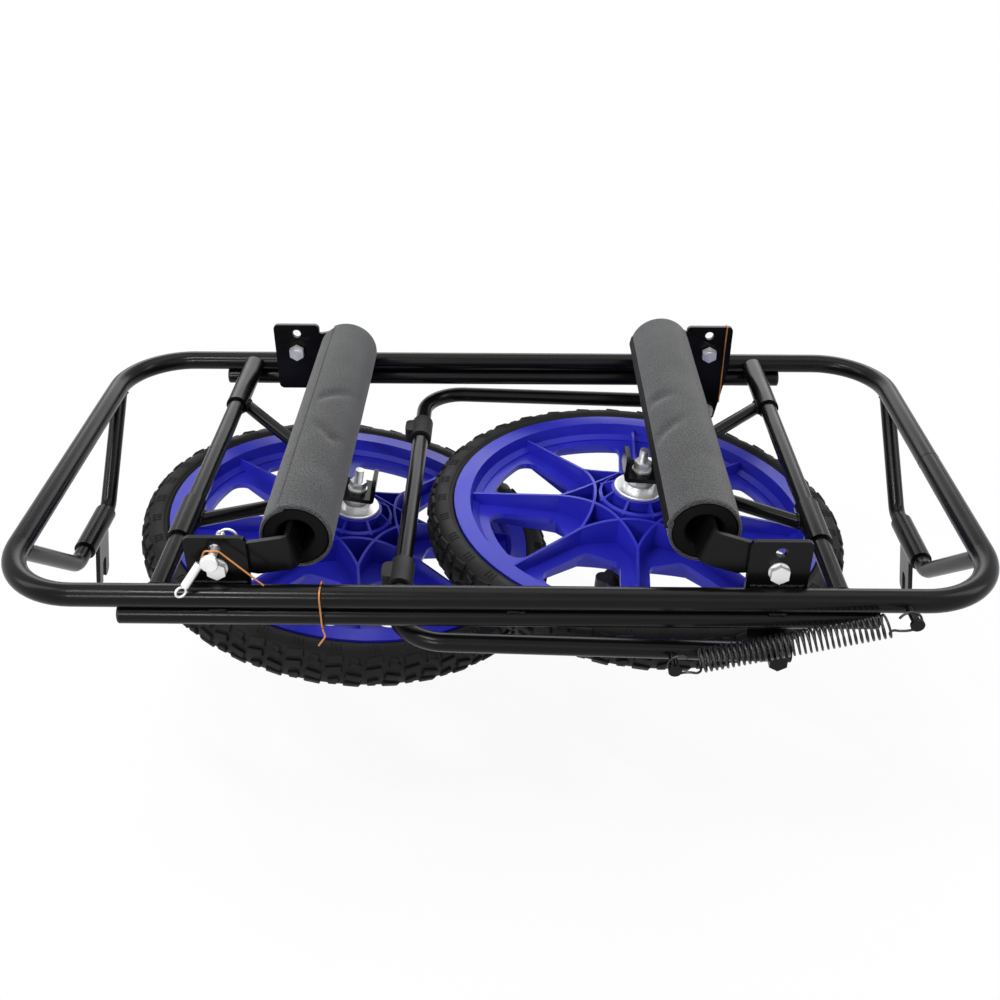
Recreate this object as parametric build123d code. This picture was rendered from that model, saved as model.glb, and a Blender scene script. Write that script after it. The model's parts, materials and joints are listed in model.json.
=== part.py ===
# Folding two-wheel boat cart, stored flat: tube frame, two wheel arms, sprung stand, two padded bunks.
# Millimetres. X runs along the frame, Y is the way the cart rolls, Z is up.
# The origin is at the middle of the frame loop, on the axis of its tube.
import os
from math import asin, cos, degrees, pi, radians, sin, sqrt

from build123d import *

# Frame tubes
frame_tube = 23.0
frame_wall = 1.5
frame_half_length = 479.0
frame_half_width = 247.5
frame_bend = 78.0
rail_tube = 20.0
rail_overhang = 35.0
cross_tube = 19.0
touch = 0.1

# Wheel arms, measured from the cross tube's axis
left_droop = 10.0
right_rise = 4.0
arm_length = 162.5
arm_meeting = 159.5
wheel_offset = 92.0
left_wheel_y = 16.0
right_wheel_y = -2.0
sleeve_tube = 25.0
running_gap = 0.05
sleeve_end_gap = 2.0
back_sleeve_length = 110.0
front_sleeve_inset = 79.0
front_sleeve_length = 67.0
back_brace_inset = 22.0
front_brace_inset = 30.0
brace_tube = 15.0

# Wheel, with heights counted from its middle plane
tyre_side_gap = 9.5
tyre_height = 30.0
tyre_width = 48.0
rim_width = 44.0
flange_depth = 18.0
band_depth = 29.0
well_depth = 12.0
spoke_count = 8
rib_wall = 3.0
hub_radius = 31.0
hub_half = 46.0
hub_ring_radius = 44.0
split_radius = 88.0
branch_radius = 48.0
window_inner = 92.0
window_margin = 40.0
spoke_half = 15.8
left_spoke_turn = 10.0
right_spoke_turn = -4.0
axle_radius = 5.0
axle_top = 97.0
axle_bottom = -94.0
bearing_radius = 13.0
bearing_width = 8.0
plate_low = 66.0
plate_wall = 5.0
knob_radius = 34.0
knob_high = -74.0
knob_depth = 24.0
knob_lobes = 5

# End brackets and the links that catch the axles
u_tube = 18.0
u_foot_inset = 71.5
u_bar_half = 58.0
u_drop = 106.0
u_bend = 26.0
link_sleeve = 24.0
link_length = 78.0
link_width = 34.0
link_reach = 76.0
link_offset = 5.0
link_hang = 10.0
slot_width = 12.0

# Bunk brackets and bunks
bracket_inset = 60.0
bracket_width = 58.0
bracket_wall = 5.0
bracket_top = 58.0
left_bracket_low = -31.0
right_bracket_low = -74.0
bracket_taper = 13.0
bunk_bolt_z = 25.0
spare_hole_z = 46.0
spare_hole_radius = 5.25
bunk_reach = 70.0
left_bunk_lift = 10.0
right_bunk_lift = 18.0
bunk_radius = 38.0
bunk_end_gap = 31.0
cover_wall = 2.0
core_width = 36.0
core_wall = 5.0
core_bend = 9.0
tab_height = 24.0

# Stand and its spring
stand_tube = 19.0
stand_side_gap = 4.5
stand_end_gap = 22.5
stand_pivot_offset = 5.0
stand_pivot_z = -60.0
stand_rise = 1.65
stand_bend = 50.0
foot_inset = 102.0
foot_length = 40.0
stand_peg_reach = 100.0
spring_side_gap = 24.0
spring_span = 115.0
coil_radius = 10.6
spring_wire = 2.4
coil_pitch = 5.15
coil_turns = 34
peg_radius = 4.0

# Fasteners
bolt_radius = 5.0
hex_flats = 17.0
tie_wire = 0.9
tie_x = -165.0
tie_bend = 9.0
pin_radius = 4.0

# Sizes that follow from the ones above
inner_face = frame_half_width - frame_tube / 2
cross_x = arm_length + arm_meeting
rail_half_length = cross_x + rail_overhang
bracket_x = cross_x - bracket_inset
back_sleeve_end = inner_face - sleeve_end_gap
back_sleeve = (back_sleeve_end - back_sleeve_length, back_sleeve_end)
front_sleeve_end = front_sleeve_inset - inner_face
front_sleeve = (front_sleeve_end, front_sleeve_end + front_sleeve_length)
back_brace_y = back_sleeve[0] + back_brace_inset
front_brace_y = front_sleeve[1] - front_brace_inset
tyre_radius = frame_half_width - tyre_side_gap
rim_radius = tyre_radius - tyre_height
window_outer = rim_radius - window_margin
spoke_end = rim_radius - flange_depth - rib_wall
u_foot_y = frame_half_width - u_foot_inset
bunk_half_length = inner_face - bunk_end_gap
stand_pivot_x = bracket_x + stand_pivot_offset
stand_half_width = tyre_radius + stand_side_gap + stand_tube / 2
stand_reach = arm_length + stand_pivot_x - cross_x + tyre_radius + stand_end_gap
foot_y = stand_half_width - foot_inset
spring_y = -stand_half_width - spring_side_gap
frame_peg_x = stand_pivot_x + spring_span
plate_mid = inner_face - bracket_wall / 2 - touch
rail_z = -(frame_tube + rail_tube) / 2 - touch
pin_z = spare_hole_z - spare_hole_radius + pin_radius + touch / 2


def rod(start, end, radius):
    along = Vector(*end) - Vector(*start)
    low_end = (Align.CENTER, Align.CENTER, Align.MIN)
    return Plane(origin=start, z_dir=along) * Cylinder(radius, along.length, align=low_end)


def pipe(start, end, radius, wall):
    return rod(start, end, radius) - rod(start, end, radius - wall)


def swept(route, radius):
    return sweep(Plane(origin=route @ 0, z_dir=route % 0) * Circle(radius), path=route)


def bent_pipe(points, bend, radius, wall):
    route = FilletPolyline(*points, radius=bend)
    return swept(route, radius) - swept(route, radius - wall)


def box(x, y, z):
    size = (x[1] - x[0], y[1] - y[0], z[1] - z[0])
    middle = ((x[0] + x[1]) / 2, (y[0] + y[1]) / 2, (z[0] + z[1]) / 2)
    return Pos(*middle) * Box(*size)


def hexagon(start, end, flats):
    along = Vector(*end) - Vector(*start)
    plane = Plane(origin=start, z_dir=along)
    return extrude(plane * RegularPolygon(flats / sqrt(3), 6), amount=along.length)


def save(name, shape):
    export_step(shape, f"parts/{name}.step")


# Frame loop, with the rails welded under its long sides
def frame_loop():
    route = RectangleRounded(2 * frame_half_length, 2 * frame_half_width, frame_bend).wire()
    return swept(route, frame_tube / 2) - swept(route, frame_tube / 2 - frame_wall)


def rail(side):
    y = side * frame_half_width
    reach = rail_half_length
    return pipe((-reach, y, rail_z), (reach, y, rail_z), rail_tube / 2, frame_wall)


def rail_plugs():
    plugs = []
    bore = rail_tube / 2 - frame_wall - touch
    for y in (-frame_half_width, frame_half_width):
        for end in (-1, 1):
            face = end * (rail_half_length + touch)
            stem = rod((face, y, rail_z), (face - end * 14, y, rail_z), bore)
            cap = rod((face, y, rail_z), (face + end * 2.5, y, rail_z), rail_tube / 2)
            plugs.append(fillet(cap.edges().sort_by(Axis.X)[-1 if end > 0 else 0], 1.2) + stem)
    return Compound(children=plugs)


def cross_bar(side):
    x = side * cross_x
    reach = frame_half_width
    bar = pipe((x, -reach, 0), (x, reach, 0), cross_tube / 2, frame_wall)
    for y in (-reach, reach):
        bar -= rod((x - 30, y, 0), (x + 30, y, 0), frame_tube / 2 + touch)
    return bar


# How far each wheel, and the link that catches its axle, sits from the frame's middle line
def wheel_y(side):
    return left_wheel_y if side < 0 else right_wheel_y


# Trapezoid bracket under each end tube
def u_bracket(side):
    x = side * frame_half_length
    points = [(x, u_foot_y, 0), (x, u_bar_half, -u_drop)]
    points += [(x, -u_bar_half, -u_drop), (x, -u_foot_y, 0)]
    tube = bent_pipe(points, u_bend, u_tube / 2, frame_wall)
    return tube - rod((x, -u_foot_y - 40, 0), (x, u_foot_y + 40, 0), frame_tube / 2 + touch)


# Sleeve that turns on the bracket's bar, and the slotted plate that hangs from it
def link_frame(side):
    origin = (side * frame_half_length, wheel_y(side), -u_drop)
    lean = radians(link_hang)
    across = (-side * cos(lean), 0, -sin(lean))
    return Plane(origin=origin, x_dir=across, z_dir=(-side * sin(lean), 0, cos(lean)))


# The sleeve sits between the plate and the middle of the bar, so that it stays on the straight
def link_tube(side):
    half = link_length / 2
    middle = side * wheel_y(side) / 2
    wall = (link_sleeve - u_tube) / 2 - running_gap
    return pipe((0, middle - half, 0), (0, middle + half, 0), link_sleeve / 2, wall)


def link_plate():
    half = link_width / 2
    wall = (link_offset - bracket_wall / 2, link_offset + bracket_wall / 2)
    plate = box(wall, (-half, half), (-link_reach, 0))
    plate = fillet(plate.edges().filter_by(Axis.X).group_by(Axis.Z)[0], 8)
    slot_top = 50.0
    plate -= box((0, 20), (-slot_width / 2, slot_width / 2), (-link_reach - 1, -slot_top))
    plate -= rod((0, 0, -slot_top), (20, 0, -slot_top), slot_width / 2)
    return plate - rod((0, -half - 1, 0), (0, half + 1, 0), link_sleeve / 2 + touch)


# Arm: two sleeves on the cross tube, two braces and a bent plate for the axle
def arm_frame(side):
    lean = radians(left_droop if side < 0 else -right_rise)
    along = (-side * cos(lean), 0, -sin(lean))
    up = (-side * sin(lean), 0, cos(lean))
    return Plane(origin=(side * cross_x, 0, 0), x_dir=along, z_dir=up)


def arm_y(side, y):
    return -side * y


def axle_y(side):
    return arm_y(side, wheel_y(side))


def arm_sleeve(side, span):
    start, end = (arm_y(side, y) for y in span)
    bore = cross_tube / 2 + running_gap
    return pipe((0, start, 0), (0, end, 0), sleeve_tube / 2, sleeve_tube / 2 - bore)


axle_plate_x = (arm_length - 26.0, arm_length + 21.0)
axle_plate_z = (plate_low - wheel_offset, plate_low + plate_wall - wheel_offset)


def arm_brace(side, y):
    across = arm_y(side, y)
    middle = sum(axle_plate_z) / 2
    inner = axle_y(side) + (12.5 if across > 0 else -12.5)
    start = (0, across, -4.0)
    end = (axle_plate_x[0] + 8, inner, middle)
    brace = pipe(start, end, brace_tube / 2, frame_wall)
    brace -= rod((0, across - arm_length, 0), (0, across + arm_length, 0), sleeve_tube / 2 + touch)
    past_plate = (axle_plate_x[0] - touch, 2 * arm_length)
    brace -= box(past_plate, (-arm_length, arm_length), (-arm_length, arm_length))
    return brace.solids().sort_by(SortBy.VOLUME)[-1]


def axle_plate():
    plate = box(axle_plate_x, (-21, 21), axle_plate_z)
    low, high = axle_plate_z
    plate += box((axle_plate_x[1] - plate_wall, axle_plate_x[1]), (-17, 17), (low, low + 27))
    corner = plate.edges().filter_by(Axis.Y).group_by(Axis.X)[-1].sort_by(Axis.Z)[0]
    plate = fillet(corner, plate_wall - 0.5)
    top = plate.edges().filter_by(Axis.X).group_by(Axis.Z)[-1]
    plate = fillet(top, 6)
    return plate - rod((arm_length, 0, low - 1), (arm_length, 0, high + 1), axle_radius + touch)


# Wheel, built about its own axis
def wheel_envelope():
    profile = [(0, hub_half), (hub_radius, hub_half), (hub_ring_radius, hub_half - 9)]
    profile += [(split_radius, hub_half - 20), (spoke_end, hub_half - 29)]
    lower = [(r, -z) for r, z in reversed(profile)]
    return revolve(Plane.XZ * make_face(Polyline(*profile, *lower, close=True)), Axis.Z)


def spoke_ribs():
    start = split_radius - 1
    straight = Pos((start + spoke_end) / 2, 0) * Rectangle(spoke_end - start, rib_wall)
    middle = branch_radius / sqrt(2)
    centre = (split_radius**2 - 2 * middle**2) / (2 * split_radius - 4 * middle)
    bend = sqrt(2) * (centre - middle)
    branch = Pos(centre, centre) * (Circle(bend + rib_wall / 2) - Circle(bend - rib_wall / 2))
    quarter = split_radius + rib_wall
    branch &= Pos(quarter / 2, quarter / 2) * Rectangle(quarter, quarter)
    short_length = hub_ring_radius - hub_radius + rib_wall
    short = Pos((hub_radius + hub_ring_radius) / 2, 0) * Rectangle(short_length, rib_wall)
    short = Rot(0, 0, 180 / spoke_count) * short
    ring = Circle(hub_ring_radius) - Circle(hub_ring_radius - rib_wall)
    sketch = ring
    for spoke in range(spoke_count):
        turn = Rot(0, 0, spoke * 360 / spoke_count)
        sketch += turn * straight
        sketch += turn * branch
        sketch += turn * short
    return extrude(sketch, amount=hub_half + 4, both=True) & wheel_envelope()


def spoke_window():
    half_step = pi / spoke_count
    corners = []
    for radius in (window_inner, window_outer):
        edge = asin(spoke_half / radius)
        for turn in (half_step - edge, edge - half_step):
            corners.append((radius * cos(turn), radius * sin(turn)))
    inner_top, inner_low, outer_top, outer_low = corners
    sides = [Line(inner_low, outer_low), Line(outer_top, inner_top), Line(inner_top, inner_low)]
    sides.insert(1, ThreePointArc(outer_low, (window_outer, 0), outer_top))
    window = make_face(sides)
    window = fillet(window.vertices().sort_by(Axis.X)[:2], 10)
    window = fillet(window.vertices().sort_by(Axis.X)[-2:], 16)
    return Rot(0, 0, degrees(half_step)) * window


def rim_band():
    top = rim_width / 2
    flange = rim_radius - flange_depth
    seat = rim_radius - 7
    well_radius = rim_radius - well_depth
    half = [(rim_radius, top - 3), (rim_radius, top), (flange, top), (flange - 4, 9)]
    half.append((rim_radius - band_depth, 5))
    low = [(r, -z) for r, z in reversed(half)]
    well = [(seat, -15), (well_radius, -9), (well_radius, 9), (seat, 15)]
    return revolve(Plane.XZ * make_face(Polyline(*half, *low, *well, close=True)), Axis.Z)


def rim():
    web = extrude(Circle(rim_radius - band_depth + 3) - Circle(20), amount=3.5, both=True)
    for spoke in range(spoke_count):
        web -= extrude(Rot(0, 0, spoke * 360 / spoke_count) * spoke_window(), amount=10, both=True)
    hub = Cylinder(hub_radius, 2 * hub_half)
    body = web + spoke_ribs() + hub + rim_band()
    body -= Cylinder(bearing_radius - 3, 2 * hub_half + 2)
    for end in (-1, 1):
        seat = hub_half - bearing_width
        body -= rod((0, 0, end * seat), (0, 0, end * (hub_half + 1)), bearing_radius + touch / 10)
    return body


def bearings():
    rings = []
    for end in (-1, 1):
        low = end * (hub_half - bearing_width + touch)
        high = end * (hub_half - touch)
        wall = bearing_radius - axle_radius - running_gap
        rings.append(pipe((0, 0, low), (0, 0, high), bearing_radius, wall))
    return Compound(children=rings)


def tyre():
    half = tyre_width / 2
    crown = tyre_radius - 5
    bead = rim_radius + 0.4
    floor = rim_radius - well_depth + 0.6
    seat = rim_radius - 6.2
    belly = rim_radius + 10
    right = [
        Line((floor, 0), (floor, 8.5)),
        Line((floor, 8.5), (seat, 14.6)),
        Line((seat, 14.6), (bead, 18.4)),
        ThreePointArc((bead, 18.4), (belly, half), (crown, 17)),
        ThreePointArc((crown, 17), (tyre_radius - 1.3, 9), (tyre_radius, 0)),
    ]
    left = [
        ThreePointArc((tyre_radius, 0), (tyre_radius - 1.3, -9), (crown, -17)),
        ThreePointArc((crown, -17), (belly, -half), (bead, -18.4)),
        Line((bead, -18.4), (seat, -14.6)),
        Line((seat, -14.6), (floor, -8.5)),
        Line((floor, -8.5), (floor, 0)),
    ]
    return revolve(Plane.XZ * make_face(right + left), Axis.Z)


def axle():
    return rod((0, 0, axle_bottom), (0, 0, axle_top), axle_radius)


def axle_hardware():
    bore = rod((0, 0, axle_bottom), (0, 0, axle_top), axle_radius + touch / 2)
    disc_low = hub_half + 0.6
    disc = rod((0, 0, disc_low), (0, 0, disc_low + 3), 28)
    disc = fillet(disc.edges().group_by(Axis.Z)[-1], 1.5)
    cup = rod((0, 0, disc_low + 3), (0, 0, disc_low + 9), 17)
    cup = fillet(cup.edges().group_by(Axis.Z)[-1], 2)
    pieces = [disc + cup]
    pieces.append(hexagon((0, 0, disc_low + 9.1), (0, 0, plate_low - touch), 19))
    plate_high = plate_low + plate_wall + touch
    pieces.append(rod((0, 0, plate_high), (0, 0, plate_high + 2), 11))
    pieces.append(hexagon((0, 0, plate_high + 2.1), (0, 0, plate_high + 11), hex_flats))
    pieces.append(rod((0, 0, -disc_low), (0, 0, -disc_low - 2), 12))
    pieces.append(hexagon((0, 0, -disc_low - 2.1), (0, 0, -disc_low - 9), hex_flats))
    return Compound(children=[piece - bore for piece in pieces])


def knob():
    body = Circle(knob_radius - 9)
    for lobe in range(knob_lobes):
        body += Rot(0, 0, lobe * 360 / knob_lobes) * Pos(knob_radius - 10, 0) * Circle(10)
    grip = Pos(0, 0, knob_high - knob_depth) * extrude(body, amount=knob_depth - 8)
    grip = fillet(grip.edges().group_by(Axis.Z)[0], 3)
    boss = rod((0, 0, knob_high - 8), (0, 0, knob_high), 13)
    bore = rod((0, 0, axle_bottom - 1), (0, 0, knob_high + 1), axle_radius + running_gap)
    return grip + boss - bore


# Bracket plates, with a bunk bolt hole, a spare hole and, on the right, the stand's pivot
def bracket_plate(side, end):
    low = left_bracket_low if side < 0 else right_bracket_low
    taper = 0 if side < 0 else bracket_taper
    y = end * plate_mid
    x = side * bracket_x
    half = bracket_width / 2
    outline = [(x - half, bracket_top), (x + half, bracket_top), (x + half, 0)]
    outline += [(x + half - taper, low), (x - half + taper, low), (x - half, 0)]
    face = Plane.XZ * make_face(Polyline(*outline, close=True))
    plate = Pos(0, y, 0) * extrude(face, amount=bracket_wall / 2, both=True)
    corners = plate.edges().filter_by(Axis.Y)
    plate = fillet(corners.group_by(Axis.Z)[0] + corners.group_by(Axis.Z)[-1], 6)
    for hole_z, radius in ((bunk_bolt_z, bolt_radius + 0.2), (spare_hole_z, spare_hole_radius)):
        plate -= rod((x, y - 10, hole_z), (x, y + 10, hole_z), radius)
    if side > 0:
        pivot = (stand_pivot_x, y - 10, stand_pivot_z), (stand_pivot_x, y + 10, stand_pivot_z)
        plate -= rod(*pivot, bolt_radius + 0.2)
    return plate


# One bolt in each bracket, with its head outside the frame and a nut behind the bunk's tab
def bunk_bolts(side):
    bolts = []
    x = side * bracket_x
    for end in (-1, 1):
        outer = end * (plate_mid + bracket_wall / 2 + touch)
        inner = end * (plate_mid - bracket_wall / 2 - 2 * bracket_wall)
        shank = rod((x, outer + end * 1, bunk_bolt_z), (x, inner - end * 6, bunk_bolt_z), bolt_radius)
        washer = rod((x, outer, bunk_bolt_z), (x, outer + end * 1.5, bunk_bolt_z), 10)
        head = hexagon((x, outer + end * 1.4, bunk_bolt_z), (x, outer + end * 8, bunk_bolt_z), hex_flats)
        nut = hexagon((x, inner + end * 2, bunk_bolt_z), (x, inner - end * 5, bunk_bolt_z), hex_flats)
        bolts.append(shank + washer + head + nut)
    return Compound(children=bolts)


# Bunk, built about its core with the bolt's axis at the origin
def bunk_frame(side):
    lift = radians(left_bunk_lift if side < 0 else right_bunk_lift)
    along = (-side * cos(lift), 0, sin(lift))
    up = (side * sin(lift), 0, cos(lift))
    return Plane(origin=(side * bracket_x, 0, bunk_bolt_z), x_dir=along, z_dir=up)


def bunk_core():
    tab_out = plate_mid - bracket_wall / 2 - 0.5
    half = core_width / 2
    bar_x = (bunk_reach - core_wall / 2, bunk_reach + core_wall / 2)
    core = box((-16, bar_x[1]), (-tab_out, tab_out), (-half, half))
    core -= box((-17, bar_x[0]), (core_wall - tab_out, tab_out - core_wall), (-half - 1, half + 1))
    outer = core.edges().filter_by(Axis.Z).group_by(Axis.X)[-1]
    core = fillet(outer, core_bend)
    neck = tab_height / 2
    for end in (-1, 1):
        sides = [(-17, end * (half + 1)), (-17, end * neck), (18, end * neck), (36, end * (half + 1))]
        core -= extrude(Plane.XZ * make_face(Polyline(*sides, close=True)), amount=300, both=True)
    tips = core.edges().filter_by(Axis.Y).group_by(Axis.X)[0]
    core = fillet(tips, 9)
    return core - rod((0, -300, 0), (0, 300, 0), bolt_radius + running_gap)


def bunk_foam():
    half = bunk_half_length - 6
    outer = bunk_radius - cover_wall - touch
    bore = sqrt(core_width**2 + core_wall**2) / 2 + touch
    return pipe((bunk_reach, -half, 0), (bunk_reach, half, 0), outer, outer - bore)


def bunk_cover():
    half = bunk_half_length
    shell = rod((bunk_reach, -half, 0), (bunk_reach, half, 0), bunk_radius)
    shell = fillet(shell.edges(), 4)
    return shell - rod((bunk_reach, -half - 1, 0), (bunk_reach, half + 1, 0), bunk_radius - cover_wall)


# Stand, built about its pivot with the loop running along X
def stand_frame():
    lean = radians(stand_rise)
    origin = (stand_pivot_x, 0, stand_pivot_z)
    return Plane(origin=origin, x_dir=(-cos(lean), 0, sin(lean)), z_dir=(sin(lean), 0, cos(lean)))


def stand_loop():
    half = stand_half_width
    points = [(-14, half, 0), (stand_reach, half, 0), (stand_reach, -half, 0), (-14, -half, 0)]
    loop = bent_pipe(points, stand_bend, stand_tube / 2, frame_wall)
    return loop - rod((0, -half - 20, 0), (0, half + 20, 0), bolt_radius + running_gap)


def stand_feet():
    feet = []
    radius = stand_tube / 2 + 3.5
    for y in (-foot_y, foot_y):
        ends = (stand_reach, y - foot_length / 2, 0), (stand_reach, y + foot_length / 2, 0)
        lobe = box((stand_reach, stand_reach + 20), (y - 13, y + 13), (-9, 9))
        lobe = fillet(lobe.edges().filter_by(Axis.Z).group_by(Axis.X)[-1], 7)
        foot = rod(*ends, radius) + lobe
        feet.append(foot - rod(*ends, stand_tube / 2 + touch / 2))
    return Compound(children=feet)


def stand_pivots():
    bolts = []
    nuts = []
    x = stand_pivot_x
    z = stand_pivot_z
    for end in (-1, 1):
        plate_in = plate_mid - bracket_wall / 2 - touch
        plate_out = plate_mid + bracket_wall / 2 + touch
        far = stand_half_width + stand_tube / 2 + 0.6
        bolt = rod((x, end * (plate_in - 9), z), (x, end * (far + 2), z), bolt_radius)
        bolt += hexagon((x, end * far, z), (x, end * (far + 6.5), z), hex_flats)
        bolt += rod((x, end * plate_out, z), (x, end * (stand_half_width - stand_tube / 2 - 0.6), z), 8)
        bolts.append(bolt)
        nut = hexagon((x, end * (plate_in - 7.5), z), (x, end * plate_in, z), hex_flats)
        nuts.append(nut - rod((x, 0, z), (x, end * far, z), bolt_radius + touch / 2))
    return Compound(children=bolts), Compound(children=nuts)


def peg(x, z, root, y):
    pin = rod((x, root, z), (x, y - 5, z), peg_radius)
    return pin + rod((x, y - 5, z), (x, y - 8, z), 6.5)


def stand_peg_place():
    lean = radians(stand_rise)
    return stand_pivot_x - stand_peg_reach * cos(lean), stand_pivot_z + stand_peg_reach * sin(lean)


def stand_peg():
    x, z = stand_peg_place()
    return peg(x, z, -stand_half_width - stand_tube / 2 + 1, spring_y) - stand_frame() * stand_solid()


def stand_solid():
    y = stand_half_width
    return rod((-14, y, 0), (stand_reach - stand_bend, y, 0), stand_tube / 2 + touch / 2)


def frame_peg():
    y = -frame_half_width
    tube = rod((frame_peg_x - 30, y, 0), (frame_peg_x + 30, y, 0), frame_tube / 2 + touch / 2)
    return peg(frame_peg_x, 0, y - frame_tube / 2 + 1, spring_y) - tube


# Extension spring: one tube from ring to ring, its turns made of pairs of tangent arcs
def tangent_arcs(start, start_way, end, end_way):
    start, end = Vector(*start), Vector(*end)
    start_way, end_way = Vector(*start_way).normalized(), Vector(*end_way).normalized()
    span = end - start
    ways = start_way + end_way
    spread = 2 * (1 - start_way.dot(end_way))
    lead = span.dot(ways)
    reach = (sqrt(lead * lead + spread * span.dot(span)) - lead) / spread
    first = start + start_way * reach
    second = end - end_way * reach
    middle = (first + second) * 0.5
    return [TangentArc(start, middle, tangent=start_way), TangentArc(middle, end, tangent=second - first)]


def coil_point(turns, start):
    turn = 2 * pi * turns
    return start + turns * coil_pitch, coil_radius * sin(turn), -coil_radius * cos(turn)


def coil_way(turns):
    turn = 2 * pi * turns
    return coil_pitch / (2 * pi), coil_radius * cos(turn), coil_radius * sin(turn)


def ring_point(centre, turn):
    return centre + coil_radius * cos(radians(turn)), 0, coil_radius * sin(radians(turn))


def spring_route(length):
    room = coil_radius - spring_wire / 2 - peg_radius - 0.4
    start = (length - coil_turns * coil_pitch) / 2
    edges = []
    low = [ring_point(room, turn) for turn in (35, 90, 135, 180, 225, 270)]
    edges.append(TangentArc(low[0], low[1], tangent=(-sin(radians(35)), 0, cos(radians(35)))))
    edges.append(ThreePointArc(low[1], low[2], low[3]))
    edges.append(ThreePointArc(low[3], low[4], low[5]))
    edges += tangent_arcs(low[5], (1, 0, 0), coil_point(0, start), coil_way(0))
    for half in range(2 * coil_turns):
        ends = half / 2, (half + 1) / 2
        points = [coil_point(turns, start) for turns in ends]
        edges += tangent_arcs(points[0], coil_way(ends[0]), points[1], coil_way(ends[1]))
    high = [ring_point(length - room, turn) for turn in (-90, -45, 0, 45, 90, 145)]
    edges += tangent_arcs(coil_point(coil_turns, start), coil_way(coil_turns), high[0], (1, 0, 0))
    edges.append(ThreePointArc(high[0], high[1], high[2]))
    edges.append(ThreePointArc(high[2], high[3], high[4]))
    edges.append(TangentArc(high[4], high[5], tangent=(-1, 0, 0)))
    return Wire(edges)


def spring_place():
    x, z = stand_peg_place()
    along = Vector(frame_peg_x - x, 0, -z)
    up = Vector(-along.Z, 0, along.X)
    return Plane(origin=(x, spring_y, z), x_dir=along, z_dir=up), along.length


def self_gap(route):
    count = 24 * coil_turns
    points = [route @ (step / count) for step in range(count + 1)]
    apart = int(0.6 * count / coil_turns)
    least = min(
        (points[one] - points[two]).length
        for one in range(len(points))
        for two in range(one + apart, min(one + 3 * apart, len(points)))
    )
    return least - spring_wire


def spring():
    place, length = spring_place()
    route = spring_route(length)
    print("spring gap to itself", round(self_gap(route), 2))
    return place * swept(route, spring_wire / 2)


# Hitch pin through the left front bracket's spare hole, a second one beside it, and their wire rings
def wire_ring(centre, normal, radius, wire):
    return Plane(origin=centre, z_dir=normal) * Torus(radius, wire)


def hitch_pins():
    x = -bracket_x
    z = pin_z
    front = -plate_mid - bracket_wall / 2
    pin = rod((x, front - 20, z), (x, front + 26, z), pin_radius)
    pin += rod((x, front - 20, z), (x, front - 25, z), 8.5)
    pin = fillet(pin.edges().filter_by(GeomType.CIRCLE).group_by(Axis.Y)[0], 2)
    hole_y = front + 21
    pin -= rod((x, hole_y, z - 8), (x, hole_y, z + 8), 2)
    clip = wire_ring((x + 8, hole_y, z), (0, 1, 0), 8.5, 1.2)
    hanging = rod((x - 12, front - 13, 38), (x - 26, front - 24, 20), pin_radius)
    loop = wire_ring((x - 29.4, front - 26.65, 15.6), (0.62, -0.78, 0), 5, 1.1)
    return Compound(children=[pin, hanging]), Compound(children=[clip, loop])


# Soft copper ties left on from packing
def wire_ties():
    bare = tie_wire + touch / 2
    high = frame_tube / 2 + bare
    low = rail_z - rail_tube / 2 - bare
    y = frame_half_width
    x = tie_x
    back, front = -y + high, -y - high
    band = FilletPolyline(
        (x, -y + 2, high), (x, back, high), (x, back, low), (x, front, low), (x, front, high),
        (x, -y - 2, high), radius=tie_bend
    )
    inset = tie_bend * (1 - sqrt(0.5)) - (bare + 0.35) * sqrt(0.5)
    tail = FilletPolyline(
        (x, front + inset, low + inset), (x + 3, front - 3, low - 3), (x - 4, front - 6, low - 12), radius=3
    )
    face = -plate_mid - bracket_wall / 2
    over = pin_z + pin_radius + bare
    pin_x = -bracket_x
    strand = FilletPolyline(
        (pin_x - 11.8, face - 12.85, 38.25), (pin_x - 7, face - 9, over), (pin_x + 6, face - 9, over),
        (pin_x + 44, -y, high), radius=3
    )
    inner = plate_mid - bracket_wall / 2 - bare
    outer = plate_mid + bracket_wall / 2 + bare
    ridge = bracket_top + bare
    tie_end_x = bracket_x + bracket_width / 2 - 8
    hanger = FilletPolyline(
        (tie_end_x, outer, bracket_top - 12), (tie_end_x, outer, ridge),
        (tie_end_x, inner, ridge), (tie_end_x, inner, -48), radius=1
    )
    return Compound(children=[swept(route, tie_wire) for route in (band, tail, strand, hanger)])


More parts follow.
